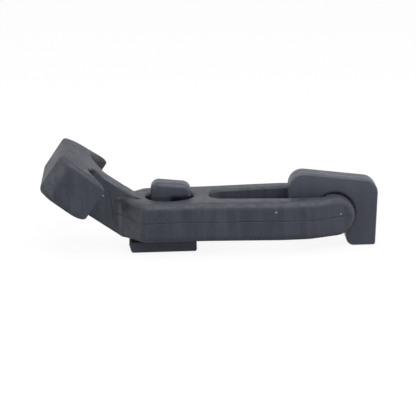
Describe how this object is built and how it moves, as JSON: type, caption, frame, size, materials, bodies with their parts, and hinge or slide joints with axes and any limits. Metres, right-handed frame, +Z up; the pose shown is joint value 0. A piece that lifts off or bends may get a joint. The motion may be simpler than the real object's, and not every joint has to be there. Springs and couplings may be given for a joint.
{
  "type": "rubber t draw latch",
  "caption": "Rubber draw latch: one-piece strap with raised T handle, keeper hole and looped end, a hook-shaped concealed-mount bracket, and a hooked keeper on a base plate.",
  "frame": {"origin": "mouth of the bracket's screw hole, on the mounting plane", "axes": "+X along the latch from the T handle to the bracket, +Y across it, +Z up out of the mounting plane"},
  "size_m": [0.1367, 0.0504, 0.0437],
  "materials": {
    "rubber": "matt moulded EPDM with a faint bloom",
    "bracket_plastic": "fine matt",
    "keeper_plastic": "fine matt"
  },
  "bodies": {
    "mounts": {"bracket": "bracket_plastic", "keeper": "keeper_plastic"},
    "strap": {"strap": "rubber"}
  },
  "joints": [
    {"name": "strap_swing", "type": "hinge", "parent": "mounts", "child": "strap", "pos_m": [-0.012, 0, 0.0142], "axis": [0, 1, 0], "range_deg": [0, 165]}
  ]
}
